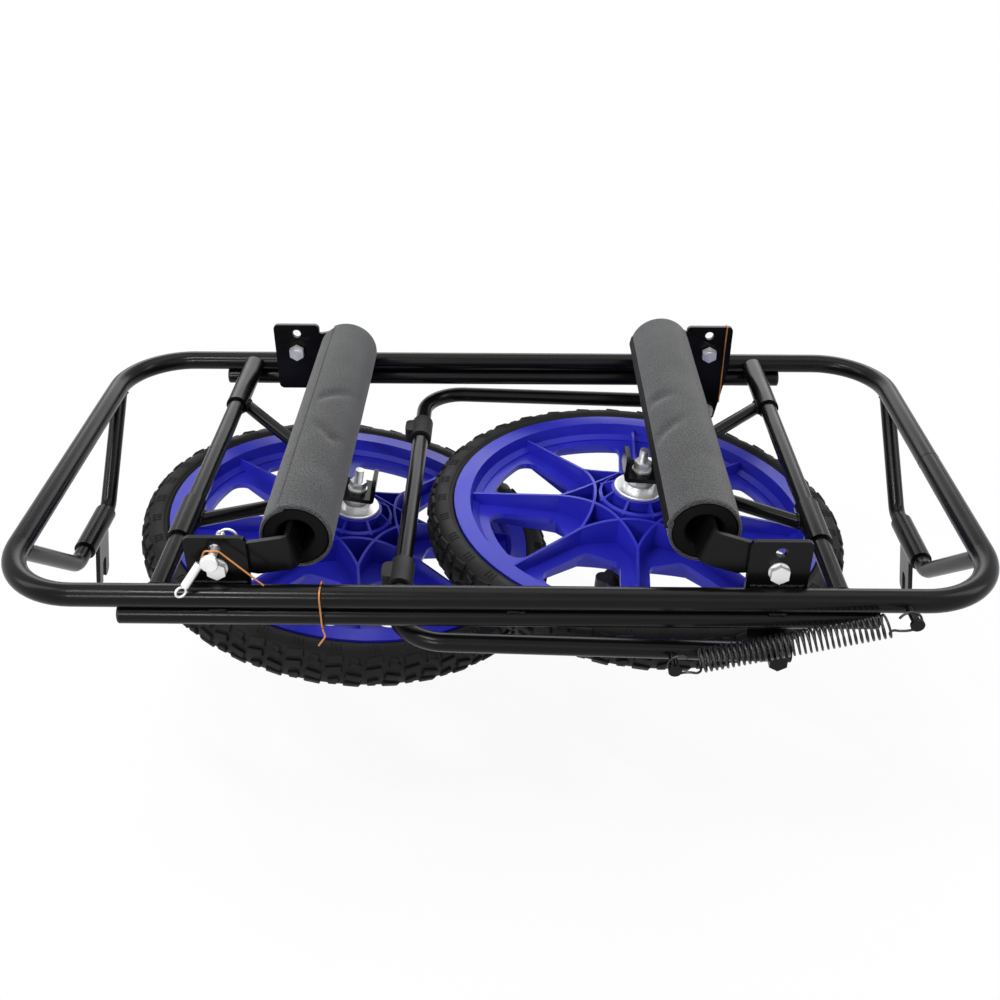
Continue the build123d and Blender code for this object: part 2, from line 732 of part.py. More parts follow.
if __name__ == "__main__":
    os.makedirs("parts", exist_ok=True)
    save("frame_loop", frame_loop())
    save("rail_plugs", rail_plugs())
    for side, name in ((-1, "front"), (1, "back")):
        save(f"{name}_rail", rail(side))
    save("frame_spring_peg", frame_peg())
    pivots, pivot_nuts = stand_pivots()
    save("stand_pivot_bolts", pivots)
    save("stand_pivot_nuts", pivot_nuts)
    save("stand_loop", stand_frame() * stand_loop())
    save("stand_feet", stand_frame() * stand_feet())
    save("stand_spring_peg", stand_peg())
    save("spring", spring())
    pins, rings = hitch_pins()
    save("hitch_pins", pins)
    save("hitch_rings", rings)
    save("wire_ties", wire_ties())
    for side, name in ((-1, "left"), (1, "right")):
        save(f"{name}_cross_tube", cross_bar(side))
        save(f"{name}_u_bracket", u_bracket(side))
        save(f"{name}_link_sleeve", link_frame(side) * link_tube(side))
        save(f"{name}_link_plate", link_frame(side) * link_plate())
        arm = arm_frame(side)
        save(f"{name}_back_sleeve", arm * arm_sleeve(side, back_sleeve))
        save(f"{name}_front_sleeve", arm * arm_sleeve(side, front_sleeve))
        save(f"{name}_back_brace", arm * arm_brace(side, back_brace_y))
        save(f"{name}_front_brace", arm * arm_brace(side, front_brace_y))
        save(f"{name}_axle_plate", arm * Pos(0, axle_y(side), 0) * axle_plate())
        wheel = arm * Pos(arm_length, axle_y(side), -wheel_offset)
        turned = wheel * Rot(0, 0, left_spoke_turn if side < 0 else right_spoke_turn)
        save(f"{name}_rim", turned * rim())
        save(f"{name}_tyre", wheel * tyre())
        save(f"{name}_bearings", wheel * bearings())
        save(f"{name}_axle", wheel * axle())
        save(f"{name}_axle_hardware", wheel * axle_hardware())
        save(f"{name}_knob", wheel * knob())
        save(f"{name}_bunk_core", bunk_frame(side) * bunk_core())
        save(f"{name}_bunk_foam", bunk_frame(side) * bunk_foam())
        save(f"{name}_bunk_cover", bunk_frame(side) * bunk_cover())
        save(f"{name}_bunk_bolts", bunk_bolts(side))
        for end, where in ((-1, "front"), (1, "back")):
            save(f"{name}_{where}_bracket", bracket_plate(side, end))
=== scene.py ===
import bpy
import bmesh
import json
from math import cos, exp, pi, radians, sin
from mathutils import Matrix, Vector, noise


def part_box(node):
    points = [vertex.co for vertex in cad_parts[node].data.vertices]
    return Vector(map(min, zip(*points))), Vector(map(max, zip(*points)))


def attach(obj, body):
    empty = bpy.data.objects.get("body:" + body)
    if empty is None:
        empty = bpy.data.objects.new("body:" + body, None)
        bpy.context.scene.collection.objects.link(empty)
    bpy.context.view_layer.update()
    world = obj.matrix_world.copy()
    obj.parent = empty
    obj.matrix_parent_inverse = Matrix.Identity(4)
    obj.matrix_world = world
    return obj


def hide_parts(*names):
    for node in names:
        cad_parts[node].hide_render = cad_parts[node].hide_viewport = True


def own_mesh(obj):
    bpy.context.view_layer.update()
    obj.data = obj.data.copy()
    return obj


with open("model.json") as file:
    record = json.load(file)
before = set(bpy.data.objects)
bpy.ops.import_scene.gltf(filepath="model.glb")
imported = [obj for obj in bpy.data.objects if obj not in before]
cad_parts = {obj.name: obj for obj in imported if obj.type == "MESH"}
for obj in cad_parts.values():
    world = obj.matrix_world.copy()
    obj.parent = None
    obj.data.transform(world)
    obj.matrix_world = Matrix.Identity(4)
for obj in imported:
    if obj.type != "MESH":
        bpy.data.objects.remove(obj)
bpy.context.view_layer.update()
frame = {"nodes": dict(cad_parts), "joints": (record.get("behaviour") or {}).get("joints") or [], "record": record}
nodes = frame["nodes"]
joints = {joint["name"]: joint for joint in frame["joints"]}
print("frame loaded:", len(nodes), "nodes")

mm = 0.001
sides = ("left", "right")


# small helpers for shader trees
def putNode(tree, kind, inputs=None, **settings):
    node = tree.nodes.new(kind)
    for name, value in settings.items():
        setattr(node, name, value)
    for name, value in (inputs or {}).items():
        node.inputs[name].default_value = value
    return node


def joinSockets(tree, *pairs):
    for source, target in pairs:
        tree.links.new(source, target)


def newGroup(name, inputs, outputs):
    tree = bpy.data.node_groups.new(name, "ShaderNodeTree")
    for label, value in inputs.items():
        socket = tree.interface.new_socket(name=label, in_out="INPUT", socket_type="NodeSocketFloat")
        socket.default_value = value
    for label in outputs:
        tree.interface.new_socket(name=label, in_out="OUTPUT", socket_type="NodeSocketFloat")
    return tree, tree.nodes.new("NodeGroupInput"), tree.nodes.new("NodeGroupOutput")


# fine bumps and a slow change of tone, both on Object coordinates
def buildGrainGroup():
    tree, entry, leave = newGroup("surfaceGrain", {"Grain": 900.0, "Patch": 9.0}, ("Height", "Tone"))
    place = putNode(tree, "ShaderNodeTexCoord")
    fine = putNode(tree, "ShaderNodeTexNoise", {"Detail": 2.0, "Roughness": 0.5})
    slow = putNode(tree, "ShaderNodeTexNoise", {"Detail": 3.0, "Roughness": 0.55})
    joinSockets(
        tree,
        (place.outputs["Object"], fine.inputs["Vector"]),
        (place.outputs["Object"], slow.inputs["Vector"]),
        (entry.outputs["Grain"], fine.inputs["Scale"]),
        (entry.outputs["Patch"], slow.inputs["Scale"]),
        (fine.outputs["Fac"], leave.inputs["Height"]),
        (slow.outputs["Fac"], leave.inputs["Tone"]),
    )
    return tree


# sparse dusty or rubbed spots
def buildDustGroup():
    tree, entry, leave = newGroup("dustSpots", {"Size": 60.0, "From": 0.58, "To": 0.75}, ("Mask",))
    place = putNode(tree, "ShaderNodeTexCoord")
    wide = putNode(tree, "ShaderNodeTexNoise", {"Detail": 6.0, "Roughness": 0.7})
    cut = putNode(tree, "ShaderNodeMapRange")
    joinSockets(
        tree,
        (place.outputs["Object"], wide.inputs["Vector"]),
        (entry.outputs["Size"], wide.inputs["Scale"]),
        (wide.outputs["Fac"], cut.inputs["Value"]),
        (entry.outputs["From"], cut.inputs["From Min"]),
        (entry.outputs["To"], cut.inputs["From Max"]),
        (cut.outputs["Result"], leave.inputs["Mask"]),
    )
    return tree


# over-and-under yarns on a UV map that is laid out in metres
def buildWeaveGroup():
    tree, entry, leave = newGroup("clothWeave", {"Yarns": 900.0}, ("Height", "Fleck"))
    place = putNode(tree, "ShaderNodeTexCoord")
    big = putNode(tree, "ShaderNodeVectorMath", operation="SCALE")
    split = putNode(tree, "ShaderNodeSeparateXYZ")
    waves = []
    for axis in ("X", "Y"):
        wave = putNode(tree, "ShaderNodeMath", operation="SINE")
        turn = putNode(tree, "ShaderNodeMath", operation="MULTIPLY")
        turn.inputs[1].default_value = pi
        joinSockets(tree, (split.outputs[axis], turn.inputs[0]), (turn.outputs[0], wave.inputs[0]))
        waves.append(wave)
    cross = putNode(tree, "ShaderNodeMath", operation="MULTIPLY")
    lift = putNode(tree, "ShaderNodeMath", operation="ABSOLUTE")
    fleck = putNode(tree, "ShaderNodeTexNoise", {"Scale": 0.76, "Detail": 1.0})
    joinSockets(
        tree,
        (place.outputs["UV"], big.inputs[0]),
        (entry.outputs["Yarns"], big.inputs["Scale"]),
        (big.outputs["Vector"], split.inputs["Vector"]),
        (waves[0].outputs[0], cross.inputs[0]),
        (waves[1].outputs[0], cross.inputs[1]),
        (cross.outputs[0], lift.inputs[0]),
        (big.outputs["Vector"], fleck.inputs["Vector"]),
        (lift.outputs[0], leave.inputs["Height"]),
        (fleck.outputs["Fac"], leave.inputs["Fleck"]),
    )
    return tree


grainGroup = buildGrainGroup()
dustGroup = buildDustGroup()
weaveGroup = buildWeaveGroup()
print("shader groups built")


def useGroup(tree, group, **values):
    node = tree.nodes.new("ShaderNodeGroup")
    node.node_tree = group
    for name, value in values.items():
        node.inputs[name].default_value = value
    return node


def mixColours(tree, mask, first, second):
    mix = putNode(tree, "ShaderNodeMix", data_type="RGBA")
    sockets = [socket for socket in mix.inputs if socket.type == "RGBA"]
    sockets[0].default_value = (*first, 1)
    sockets[1].default_value = (*second, 1)
    tree.links.new(mask, mix.inputs["Factor"])
    return [socket for socket in mix.outputs if socket.type == "RGBA"][0]


def addBump(tree, height, strength, depth, under=None):
    bump = putNode(tree, "ShaderNodeBump", {"Strength": strength, "Distance": depth})
    tree.links.new(height, bump.inputs["Height"])
    if under is not None:
        tree.links.new(under, bump.inputs["Normal"])
    return bump.outputs["Normal"]


def newMaterial(name, **fixed):
    material = bpy.data.materials.new(name)
    material.use_nodes = True
    tree = material.node_tree
    shader = tree.nodes["Principled BSDF"]
    for label, value in fixed.items():
        shader.inputs[label].default_value = value
    return material, tree, shader


# one entry a finish: two tones, the roughness span and the size of its grain
finishes = {
    "blackCoat": dict(
        dark=(0.0022, 0.0022, 0.0023), light=(0.0042, 0.0042, 0.0043), rough=(0.18, 0.30),
        grain=650.0, patch=14.0, bump=0.03, depth=0.0004, dust=(0.010, 0.010, 0.011), dustFrom=0.70,
        fixed={"Specular IOR Level": 0.15}),
    "bluePlastic": dict(
        dark=(0.011, 0.012, 0.33), light=(0.026, 0.028, 0.50), rough=(0.28, 0.42),
        grain=1400.0, patch=16.0, bump=0.10, depth=0.0003, dust=(0.06, 0.065, 0.66), dustFrom=0.68,
        fixed={"Specular IOR Level": 0.28}),
    "tyreRubber": dict(
        dark=(0.0042, 0.0041, 0.0040), light=(0.0092, 0.0090, 0.0087), rough=(0.50, 0.70),
        grain=1100.0, patch=20.0, bump=0.25, depth=0.0004, dust=(0.026, 0.025, 0.024), dustFrom=0.64,
        fixed={"Specular IOR Level": 0.18}),
    "brightZinc": dict(
        dark=(0.70, 0.71, 0.71), light=(0.92, 0.92, 0.91), rough=(0.28, 0.46),
        grain=500.0, patch=90.0, bump=0.06, depth=0.0003, dust=(0.50, 0.50, 0.48), dustFrom=0.70,
        fixed={"Metallic": 0.72}),
    "knobPlastic": dict(
        dark=(0.006, 0.006, 0.0063), light=(0.011, 0.011, 0.0115), rough=(0.38, 0.54),
        grain=1600.0, patch=30.0, bump=0.22, depth=0.0004, dust=(0.04, 0.04, 0.04), dustFrom=0.66,
        fixed={"Specular IOR Level": 0.3}),
    "footRubber": dict(
        dark=(0.006, 0.006, 0.006), light=(0.011, 0.011, 0.011), rough=(0.50, 0.68),
        grain=1300.0, patch=30.0, bump=0.20, depth=0.0003, dust=(0.04, 0.039, 0.037), dustFrom=0.62,
        fixed={"Specular IOR Level": 0.3}),
    "springSteel": dict(
        dark=(0.018, 0.018, 0.019), light=(0.060, 0.060, 0.062), rough=(0.20, 0.34),
        grain=900.0, patch=60.0, bump=0.08, depth=0.0002, dust=(0.09, 0.088, 0.085), dustFrom=0.64,
        fixed={"Metallic": 0.8}),
    "copperTie": dict(
        dark=(0.34, 0.13, 0.035), light=(0.62, 0.27, 0.085), rough=(0.32, 0.5),
        grain=900.0, patch=120.0, bump=0.08, depth=0.0002, dust=(0.2, 0.1, 0.05), dustFrom=0.62,
        fixed={"Metallic": 0.55}),
    "hookTape": dict(
        dark=(0.0035, 0.0035, 0.0037), light=(0.008, 0.008, 0.0083), rough=(0.80, 0.95),
        grain=1800.0, patch=60.0, bump=0.7, depth=0.0006, dust=(0.02, 0.02, 0.02), dustFrom=0.66,
        fixed={"Specular IOR Level": 0.2}),
    "padFoam": dict(
        dark=(0.003, 0.003, 0.0031), light=(0.006, 0.006, 0.0062), rough=(0.82, 0.95),
        grain=700.0, patch=40.0, bump=0.6, depth=0.0008, dust=(0.02, 0.02, 0.02), dustFrom=0.64,
        fixed={"Specular IOR Level": 0.12}),
    "stitchThread": dict(
        dark=(0.008, 0.008, 0.0085), light=(0.02, 0.02, 0.021), rough=(0.6, 0.75),
        grain=2500.0, patch=200.0, bump=0.3, depth=0.0002, dust=(0.03, 0.03, 0.03), dustFrom=0.68,
        fixed={"Specular IOR Level": 0.25}),
}


def buildFinish(name, look):
    material, tree, shader = newMaterial(name, **look["fixed"])
    grain = useGroup(tree, grainGroup, Grain=look["grain"], Patch=look["patch"])
    dust = useGroup(tree, dustGroup, Size=look["patch"] * 5,
                    From=look["dustFrom"], To=look["dustFrom"] + 0.16)
    base = mixColours(tree, grain.outputs["Tone"], look["dark"], look["light"])
    worn = mixColours(tree, dust.outputs["Mask"], look["dark"], look["dust"])
    tree.links.new(base, [s for s in worn.node.inputs if s.type == "RGBA"][0])
    rough = putNode(tree, "ShaderNodeMapRange", {"From Min": 0.3, "From Max": 0.7})
    rough.inputs["To Min"].default_value, rough.inputs["To Max"].default_value = look["rough"]
    joinSockets(
        tree,
        (grain.outputs["Tone"], rough.inputs["Value"]),
        (rough.outputs["Result"], shader.inputs["Roughness"]),
        (worn, shader.inputs["Base Color"]),
        (addBump(tree, grain.outputs["Height"], look["bump"], look["depth"]), shader.inputs["Normal"]),
    )
    return material


looks = {name: buildFinish(name, look) for name, look in finishes.items()}


# dark grey nylon with lighter flecks, for the bunk covers
coverLook = dict(
    dark=(0.012, 0.0123, 0.013), light=(0.094, 0.096, 0.100), yarns=720.0, bump=0.45, depth=0.0005,
    grain=1500.0, patch=22.0, grainBump=0.12,
    fixed={"Sheen Weight": 0.25, "Sheen Roughness": 0.45, "Specular IOR Level": 0.3},
)


def buildCoverCloth():
    material, tree, shader = newMaterial("coverCloth", **coverLook["fixed"])
    weave = useGroup(tree, weaveGroup, Yarns=coverLook["yarns"])
    grain = useGroup(tree, grainGroup, Grain=coverLook["grain"], Patch=coverLook["patch"])
    fleck = putNode(tree, "ShaderNodeMapRange", {"From Min": 0.34, "From Max": 0.66})
    blend = putNode(tree, "ShaderNodeMath", operation="MULTIPLY")
    tone = putNode(tree, "ShaderNodeMapRange",
                   {"From Min": 0.3, "From Max": 0.7, "To Min": 0.55, "To Max": 1.0})
    rough = putNode(tree, "ShaderNodeMapRange", {"To Min": 0.92, "To Max": 0.7})
    colour = mixColours(tree, blend.outputs[0], coverLook["dark"], coverLook["light"])
    joinSockets(
        tree,
        (weave.outputs["Fleck"], fleck.inputs["Value"]),
        (grain.outputs["Tone"], tone.inputs["Value"]),
        (fleck.outputs["Result"], blend.inputs[0]),
        (tone.outputs["Result"], blend.inputs[1]),
        (colour, shader.inputs["Base Color"]),
        (weave.outputs["Height"], rough.inputs["Value"]),
        (rough.outputs["Result"], shader.inputs["Roughness"]),
    )
    fold = addBump(tree, grain.outputs["Height"], coverLook["grainBump"], coverLook["depth"])
    yarn = addBump(tree, weave.outputs["Height"], coverLook["bump"], coverLook["depth"], fold)
    tree.links.new(yarn, shader.inputs["Normal"])
    return material


looks["coverCloth"] = buildCoverCloth()


# zinc with a rolled thread that runs along one axis
threadLook = dict(
    dark=(0.46, 0.47, 0.48), light=(0.74, 0.75, 0.76), grain=500.0, patch=90.0,
    pitch=1.5, bump=0.9, depth=0.0004,
)


def buildThread(name, axis):
    material, tree, shader = newMaterial(name, Metallic=1.0)
    grain = useGroup(tree, grainGroup, Grain=threadLook["grain"], Patch=threadLook["patch"])
    place = putNode(tree, "ShaderNodeTexCoord")
    along = putNode(tree, "ShaderNodeVectorMath", operation="DOT_PRODUCT")
    along.inputs[1].default_value = [value * 2 * pi / (threadLook["pitch"] * mm) for value in axis]
    wave = putNode(tree, "ShaderNodeMath", operation="SINE")
    rough = putNode(tree, "ShaderNodeMapRange", {"To Min": 0.2, "To Max": 0.42})
    colour = mixColours(tree, grain.outputs["Tone"], threadLook["dark"], threadLook["light"])
    ridges = addBump(tree, wave.outputs[0], threadLook["bump"], threadLook["depth"])
    joinSockets(
        tree,
        (place.outputs["Object"], along.inputs[0]),
        (along.outputs["Value"], wave.inputs[0]),
        (colour, shader.inputs["Base Color"]),
        (grain.outputs["Tone"], rough.inputs["Value"]),
        (rough.outputs["Result"], shader.inputs["Roughness"]),
        (ridges, shader.inputs["Normal"]),
    )
    return material


for side in sides:
    looks[side + "Thread"] = buildThread(side + "Thread", joints[side + "_wheel_spin"]["axis"])
print("materials built:", len(looks))

slotLooks = {
    "black_coat": "blackCoat", "blue_plastic": "bluePlastic", "tyre": "tyreRubber",
    "zinc": "brightZinc", "knob_plastic": "knobPlastic", "plug_plastic": "knobPlastic",
    "foam": "padFoam", "cover_fabric": "coverCloth", "foot_rubber": "footRubber",
    "spring_steel": "springSteel", "tie_wire": "copperTie",
}


def dressNode(name, look):
    mesh = nodes[name].data
    mesh.materials.clear()
    mesh.materials.append(looks[look])


for part in frame["record"]["subparts"]:
    dressNode(part["node"], slotLooks[part["material_slot"]])
for side in sides:
    dressNode(side + "_axle", side + "Thread")
print("CAD nodes dressed")


# where a point of the stand goes when the stand is down
def standDown(point):
    fold = joints["stand_fold"]
    hinge = Vector(fold["pos_m"])
    turn = Matrix.Rotation(radians(fold["range_deg"][1]), 3, Vector(fold["axis"]))
    return hinge + turn @ (point - hinge)


# the spring is shorter when the stand is down; here the spring only gets a mesh of its own, and the hook and peg
# points found are not used
def shortenSpring():
    hook = Vector(joints["spring_swing"]["pos_m"])
    low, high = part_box("stand_spring_peg")
    peg = (low + high) / 2
    peg.y = hook.y
    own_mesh(nodes["spring"])


shortenSpring()


# turns a bmesh into a piece that rides on a body
def finishPiece(name, bm, look, body, smooth=True):
    mesh = bpy.data.meshes.new(name)
    bm.to_mesh(mesh)
    bm.free()
    mesh.materials.append(looks[look])
    if smooth:
        mesh.shade_smooth()
    piece = bpy.data.objects.new(name, mesh)
    bpy.context.scene.collection.objects.link(piece)
    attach(piece, body)
    return piece


def axisMatrix(origin, axis):
    up = Vector(axis).normalized()
    across = Vector((up.z, 0, -up.x)).normalized()
    matrix = Matrix((across, up.cross(across), up)).transposed().to_4x4()
    return Matrix.Translation(Vector(origin)) @ matrix


# tyres: a spun carcass with rows of tread blocks
tyreShape = dict(
    profile=[
        (196.6, 0), (196.6, 8.5), (201.8, 14.6), (208.4, 18.4), (210.2, 20.6),
        (211.6, 21.4), (212.6, 21.2), (213.6, 22.4), (217.5, 23.6), (222.0, 23.4),
        (226.5, 21.8), (230.4, 18.9), (232.6, 14.5), (234.0, 8), (234.4, 0),
    ],
    steps=144, count=36, chamfer=0.9, crease=35,
    rows=[  # size is length round the tyre, width across the tread and height
        dict(radius=235.1, across=4.4, size=(16.0, 7.6, 5.6), lean=4, skew=12, stagger=0.25),
        dict(radius=234.2, across=10.6, size=(11.0, 6.0, 5.4), lean=12, skew=-20, stagger=0.78),
        dict(radius=231.6, across=15.6, size=(17.0, 8.0, 6.0), lean=30, skew=8, stagger=0.25),
        dict(radius=232.0, across=15.0, size=(9.0, 7.0, 4.6), lean=30, skew=-6, stagger=0.75),
        dict(radius=221.8, across=22.9, size=(1.5, 9.5, 2.2), lean=80, skew=8, stagger=0.12),
        dict(radius=221.8, across=22.9, size=(1.5, 9.5, 2.2), lean=80, skew=8, stagger=0.24),
        dict(radius=221.8, across=22.9, size=(1.5, 9.5, 2.2), lean=80, skew=8, stagger=0.36),
    ],
)


def addBlocks(bm, row, sign):
    made = bmesh.ops.create_cube(bm, size=1)["verts"]
    edges = list({edge for vert in made for edge in vert.link_edges})
    bmesh.ops.scale(bm, vec=Vector(row["size"]).yxz * mm, verts=made)
    top = [edge for edge in edges if all(vert.co.z > 0 for vert in edge.verts)]
    cut = bmesh.ops.bevel(bm, geom=top, offset=tyreShape["chamfer"] * mm, offset_type="OFFSET",
                          segments=1, profile=0.5, affect="EDGES", material=-1)
    block = list({vert for face in cut["faces"] for vert in face.verts} | {v for v in made if v.is_valid})
    skew = Matrix.Rotation(radians(row["skew"] * sign), 3, "Z")
    bmesh.ops.rotate(bm, cent=(0, 0, 0), matrix=skew, verts=block)
    # the block's height runs outwards, its width across the tread
    stand = Matrix(((0, 0, 1), (0, 1, 0), (-1, 0, 0)))
    bmesh.ops.rotate(bm, cent=(0, 0, 0), matrix=stand, verts=block)
    lean = Matrix.Rotation(radians(-row["lean"] * sign), 3, "Y")
    bmesh.ops.rotate(bm, cent=(0, 0, 0), matrix=lean, verts=block)
    bmesh.ops.translate(bm, vec=(row["radius"] * mm, 0, row["across"] * sign * mm), verts=block)
    step = 2 * pi / tyreShape["count"]
    turn = Matrix.Rotation(step * (row["stagger"] + (0.0 if sign > 0 else 0.5)), 3, "Z")
    bmesh.ops.rotate(bm, cent=(0, 0, 0), matrix=turn, verts=block)
    faces = list({face for vert in block for face in vert.link_faces})
    bmesh.ops.spin(bm, geom=block + faces, cent=(0, 0, 0), axis=(0, 0, 1), angle=2 * pi - step,
                   steps=tyreShape["count"] - 1, use_duplicate=True)


def buildTyre(side):
    bm = bmesh.new()
    half = [(r * mm, z * mm) for r, z in tyreShape["profile"]]
    section = half + [(r, -z) for r, z in reversed(half[1:-1])]
    verts = [bm.verts.new((r, 0, z)) for r, z in section]
    edges = [bm.edges.new((verts[i - 1], verts[i])) for i in range(len(verts))]
    bmesh.ops.spin(bm, geom=verts + edges, cent=(0, 0, 0), axis=(0, 0, 1), angle=2 * pi,
                   steps=tyreShape["steps"], use_merge=True)
    bmesh.ops.recalc_face_normals(bm, faces=bm.faces)
    for row in tyreShape["rows"]:
        for sign in (1, -1):
            addBlocks(bm, row, sign)
    bmesh.ops.recalc_face_normals(bm, faces=bm.faces)
    spin = joints[side + "_wheel_spin"]
    bm.transform(axisMatrix(spin["pos_m"], spin["axis"]))
    piece = finishPiece(side + "TreadTyre", bm, "tyreRubber", side + "_wheel")
    piece.data.set_sharp_from_angle(angle=radians(tyreShape["crease"]))
    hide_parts(side + "_tyre")
    return piece


for side in sides:
    buildTyre(side)
print("tyres built")


# bunk pads: a cover wrapped over a foam tube, its edge lapped over its start and its ends rolled in
padShape = dict(
    columns=92, rings=92, lipRings=4, lip=2.5, roll=110.0, flap=9.0, wrap=2.0, thick=2.0, slack=1.5,
    held=0.035, grip=0.8, seam={"left": 114, "right": 170},
    ripple=dict(high=0.5, round=1.6, along=14.0),
    foam=dict(gap=4.6, recess=1.4, bore=18.2, edge=2.0, steps=96, crease=40),
    dents={  # creases: place along the pad, angle round it, size along it and round it, skew, depth
        "left": [
            dict(along=19, turn=82, size=(8, 20), skew=-0.75, depth=3.4),
            dict(along=-58, turn=75, size=(8, 12), skew=0.95, depth=3.0),
            dict(along=-66, turn=55, size=(7, 9), skew=-0.60, depth=2.0),
            dict(along=-128, turn=60, size=(16, 22), skew=0.2, depth=1.0),
        ],
        "right": [
            dict(along=13, turn=132, size=(8, 16), skew=0.25, depth=3.2),
            dict(along=-56, turn=127, size=(8, 18), skew=-0.45, depth=3.4),
            dict(along=-116, turn=70, size=(18, 24), skew=-0.2, depth=0.9),
        ],
    },
    cloth=dict(pressure=60.0, mass=0.002, frames=20, quality=6, stiff=6.0, bend=0.2, most=4.0),
)


# how far in, how far along and how far over the cloth a ring of the cover lies
def coverRing(index, half):
    lip, steps, rings = padShape["lip"] * mm, padShape["lipRings"], padShape["rings"]
    straight = half - lip
    if steps <= index <= rings - steps:
        y = straight * (2 * (index - steps) / (rings - 2 * steps) - 1)
        return 0.0, y, y
    sign = -1 if index < steps else 1
    beyond = max(steps - index, index - rings + steps) / steps * radians(padShape["roll"])
    inset = lip * (1 - cos(beyond))
    return inset, sign * (straight + lip * sin(beyond)), sign * (straight + lip * beyond)


# the wrapped sheet is one thickness lower at its start than at its lapped edge
def wrapRadius(turn, radius):
    return radius - padShape["wrap"] * mm * (1 - turn)


# how deep a crease lies here, from 0 to 1
def creaseShare(angle, y, dent, radius):
    across = (angle - radians(dent["turn"]) + pi) % (2 * pi) - pi
    across *= radius / mm
    along = y / mm - dent["along"] - across * dent["skew"]
    length, width = dent["size"]
    return exp(-(along / length) ** 2 - (across / width) ** 2)


def layCover(side, radius, half, seam):
    bm = bmesh.new()
    rings, flap, wave = padShape["rings"], radians(padShape["flap"]), padShape["ripple"]
    bmesh.ops.create_grid(bm, x_segments=padShape["columns"], y_segments=rings, size=0.5)
    uv = bm.loops.layers.uv.new("cloth")
    grip = bm.verts.layers.deform.verify()
    for vert in bm.verts:
        turn = vert.co.x + 0.5
        index = round((vert.co.y + 0.5) * rings)
        inset, y, run = coverRing(index, half)
        angle = seam - flap + turn * (2 * pi + flap)
        for loop in vert.link_loops:
            loop[uv].uv = (angle * radius, run)
        out = wrapRadius(turn, radius) - inset
        held = 1.0 if inset or min(turn, 1 - turn) < padShape["held"] else 0.0
        if not held:
            spot = Vector((cos(angle), 0, sin(angle))) * wave["round"]
            spot += Vector((0, y * wave["along"], seam))
            out += (noise.noise(spot) - 0.5) * wave["high"] * mm
            for dent in padShape["dents"][side]:
                share = creaseShare(angle, y, dent, radius)
                out -= share * dent["depth"] * mm
                held = max(held, 1.0 if share > padShape["grip"] else 0.0)
        vert.co = (cos(angle) * out, y, sin(angle) * out)
        vert[grip][0] = held
    bmesh.ops.reverse_faces(bm, faces=bm.faces)
    return bm


# lets the cloth fill out between the edges and creases that hold it
def swellCover(cover):
    rule = padShape["cloth"]
    cover.vertex_groups.new(name="held")
    cloth = cover.modifiers.new("swell", "CLOTH")
    cloth.collision_settings.use_collision = False
    settings = cloth.settings
    settings.quality = rule["quality"]
    settings.mass = rule["mass"]
    settings.tension_stiffness = rule["stiff"]
    settings.compression_stiffness = rule["stiff"]
    settings.shear_stiffness = rule["stiff"]
    settings.bending_stiffness = rule["bend"]
    settings.vertex_group_mass = "held"
    settings.use_pressure = True
    settings.uniform_pressure_force = rule["pressure"]
    settings.effector_weights.gravity = 0
    scene = bpy.context.scene
    for step in range(1, rule["frames"] + 1):
        scene.frame_set(step)
    swollen = cover.evaluated_get(bpy.context.evaluated_depsgraph_get()).data
    moves = [new.co - old.co for new, old in zip(swollen.vertices, cover.data.vertices)]
    longest = max(move.length for move in moves)
    for vert, move in zip(cover.data.vertices, moves):
        vert.co += move * min(1.0, rule["most"] * mm / max(move.length, 1e-9))
    cover.modifiers.remove(cloth)
    cover.vertex_groups.clear()
    scene.frame_set(1)
    print(cover.name, "filled out by up to", round(longest / mm, 2), "mm")


def buildCover(side):
    low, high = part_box(side + "_bunk_cover")
    centre = (low + high) / 2
    radius = (high.x - low.x) / 2 - padShape["slack"] * mm
    half = (high.y - low.y) / 2
    seam = radians(padShape["seam"][side])
    bm = layCover(side, radius, half, seam)
    bmesh.ops.translate(bm, vec=centre, verts=bm.verts)
    cover = finishPiece(side + "Cover", bm, "coverCloth", side + "_bunk")
    swellCover(cover)
    finer = cover.modifiers.new("finerCloth", "SUBSURF")
    finer.levels = finer.render_levels = 1
    finer.uv_smooth = "NONE"
    wall = cover.modifiers.new("clothThickness", "SOLIDIFY")
    wall.thickness = padShape["thick"] * mm
    wall.offset = -1
    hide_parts(side + "_bunk_cover")
    return centre, radius, half, seam


def buildFoam(side, centre, radius, half):
    shape = padShape["foam"]
    outer, bore, edge = radius - shape["gap"] * mm, shape["bore"] * mm, shape["edge"] * mm
    reach = half - shape["recess"] * mm
    bm = bmesh.new()
    section = [(outer, edge - reach), (outer - edge, -reach), (bore + edge, -reach), (bore, edge - reach)]
    section += [(r, -y) for r, y in reversed(section)]
    verts = [bm.verts.new((r, y, 0)) for r, y in section]
    edges = [bm.edges.new((verts[i - 1], verts[i])) for i in range(len(verts))]
    bmesh.ops.spin(bm, geom=verts + edges, cent=(0, 0, 0), axis=(0, 1, 0), angle=2 * pi,
                   steps=shape["steps"], use_merge=True)
    faceEdges = [e for e in bm.edges if abs(e.verts[0].co.y - e.verts[1].co.y) < 1e-6]
    bmesh.ops.subdivide_edges(bm, edges=faceEdges, cuts=1, use_grid_fill=True)
    bmesh.ops.recalc_face_normals(bm, faces=bm.faces)
    bmesh.ops.translate(bm, vec=centre, verts=bm.verts)
    foam = finishPiece(side + "Foam", bm, "padFoam", side + "_bunk")
    foam.data.set_sharp_from_angle(angle=radians(shape["crease"]))
    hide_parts(side + "_bunk_foam")


# a row of stitches over the cover's lapped edge
stitchShape = dict(length=3.4, gap=0.5, thick=0.85, inset=0.7, sunk=0.25, margin=7.0)


